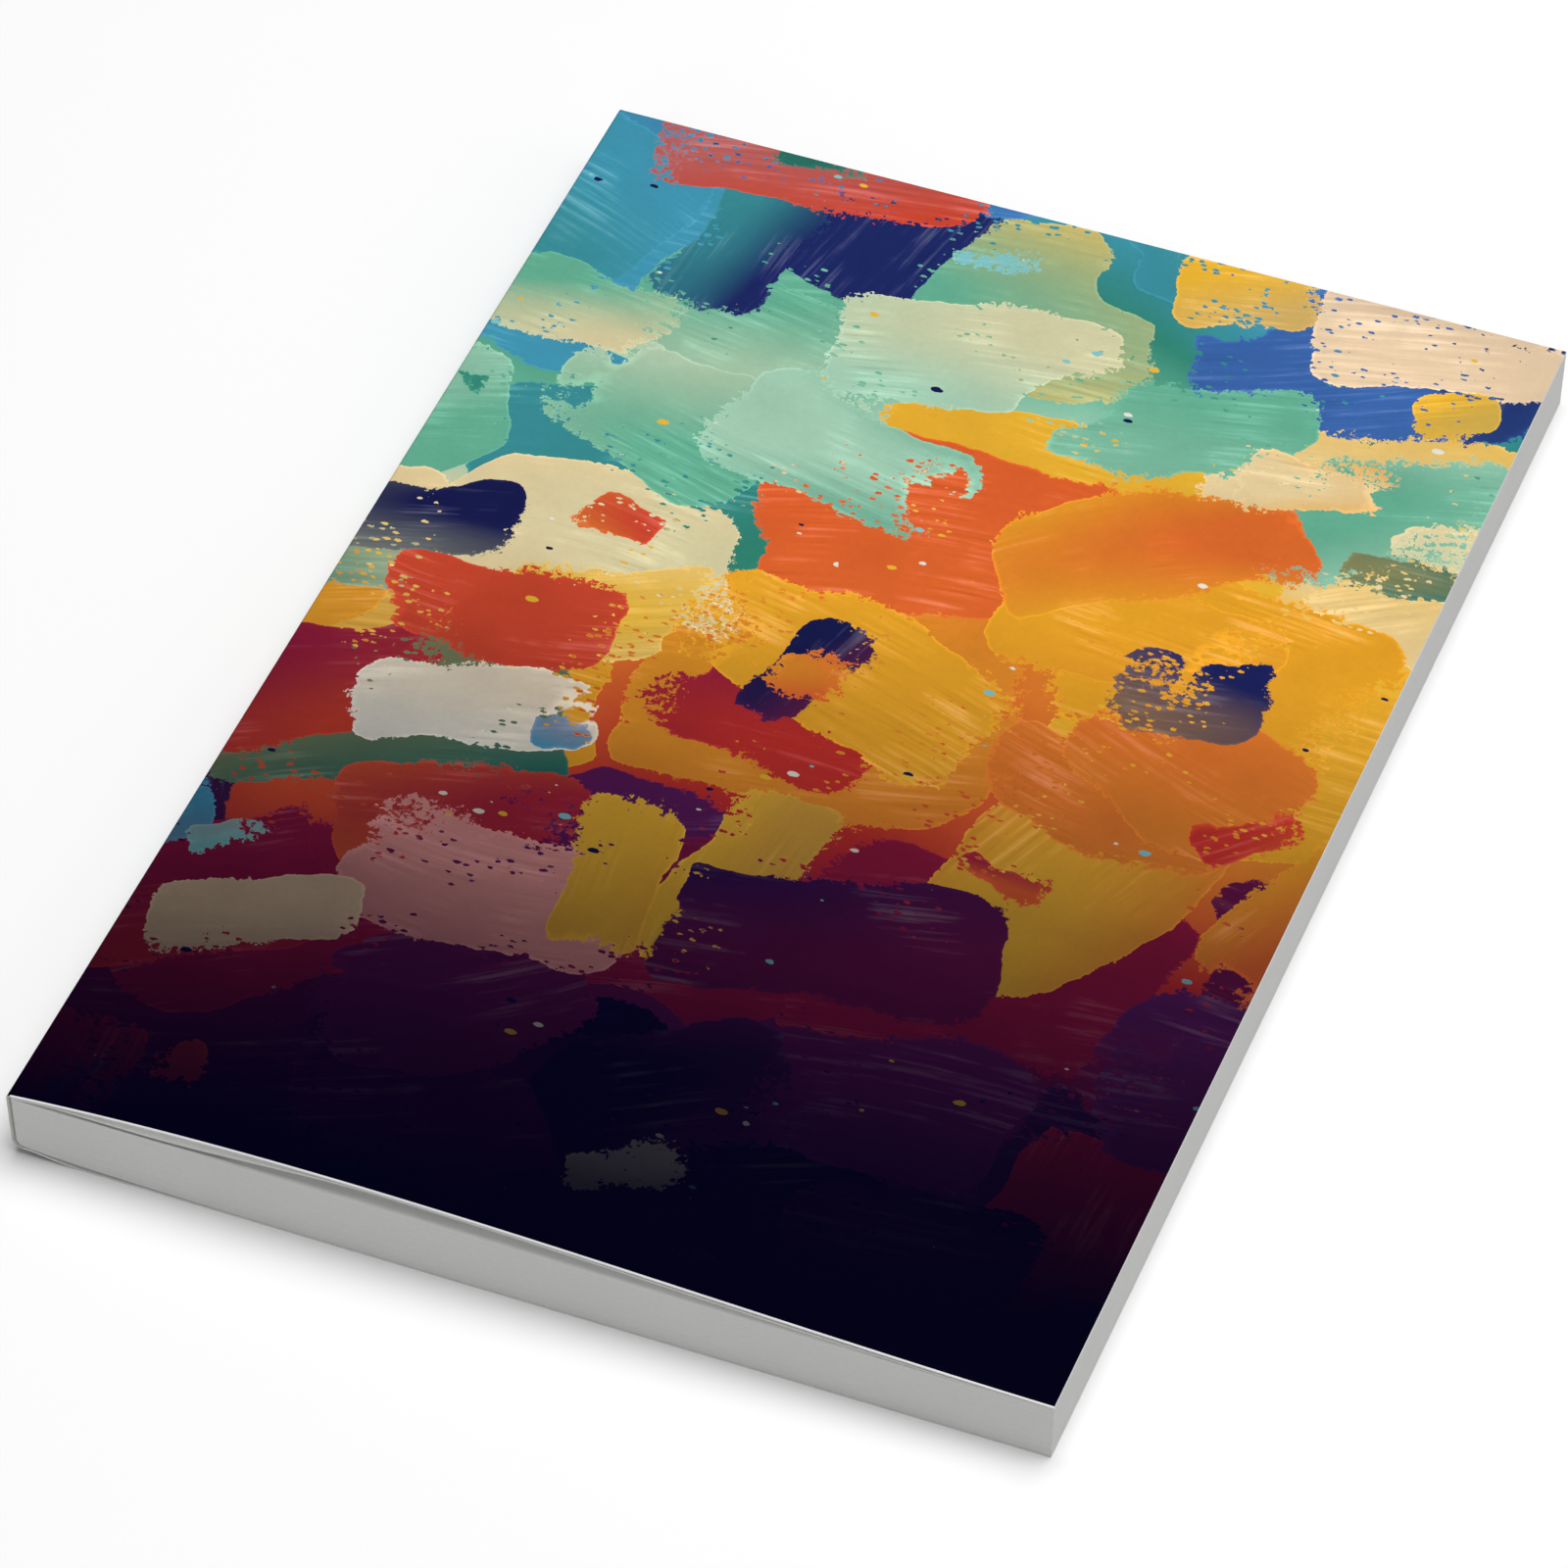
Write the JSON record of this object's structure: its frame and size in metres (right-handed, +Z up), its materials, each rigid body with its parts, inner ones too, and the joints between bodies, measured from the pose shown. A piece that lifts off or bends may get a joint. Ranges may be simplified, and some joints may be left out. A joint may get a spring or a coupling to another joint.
{
  "type": "softcover notebook",
  "caption": "Closed softcover notebook with a glued spine; printed card covers fold open at the spine around a block of trimmed pages.",
  "frame": {"origin": "middle of the underside, on the table that the back cover lies on", "axes": "+X from the spine to the fore-edge, +Y from the tail to the head, +Z up from the back cover to the front cover"},
  "size_m": [0.148, 0.21, 0.0136],
  "materials": {
    "cover_card": "satin",
    "page_paper": "matte",
    "binding_glue": "satin"
  },
  "bodies": {
    "pages": {"page_block": "page_paper", "spine": "cover_card", "spine_glue": "binding_glue"},
    "front_cover": {"front_cover": "cover_card"},
    "back_cover": {"back_cover": "cover_card"}
  },
  "joints": [
    {"name": "front_cover_fold", "type": "hinge", "parent": "pages", "child": "front_cover", "pos_m": [-0.0734, 0, 0.0113], "axis": [0, -1, 0], "range_deg": [0, 178]},
    {"name": "back_cover_fold", "type": "hinge", "parent": "pages", "child": "back_cover", "pos_m": [-0.0725, 0, 0.001], "axis": [0, 1, 0], "range_deg": [0, 179.5]}
  ]
}
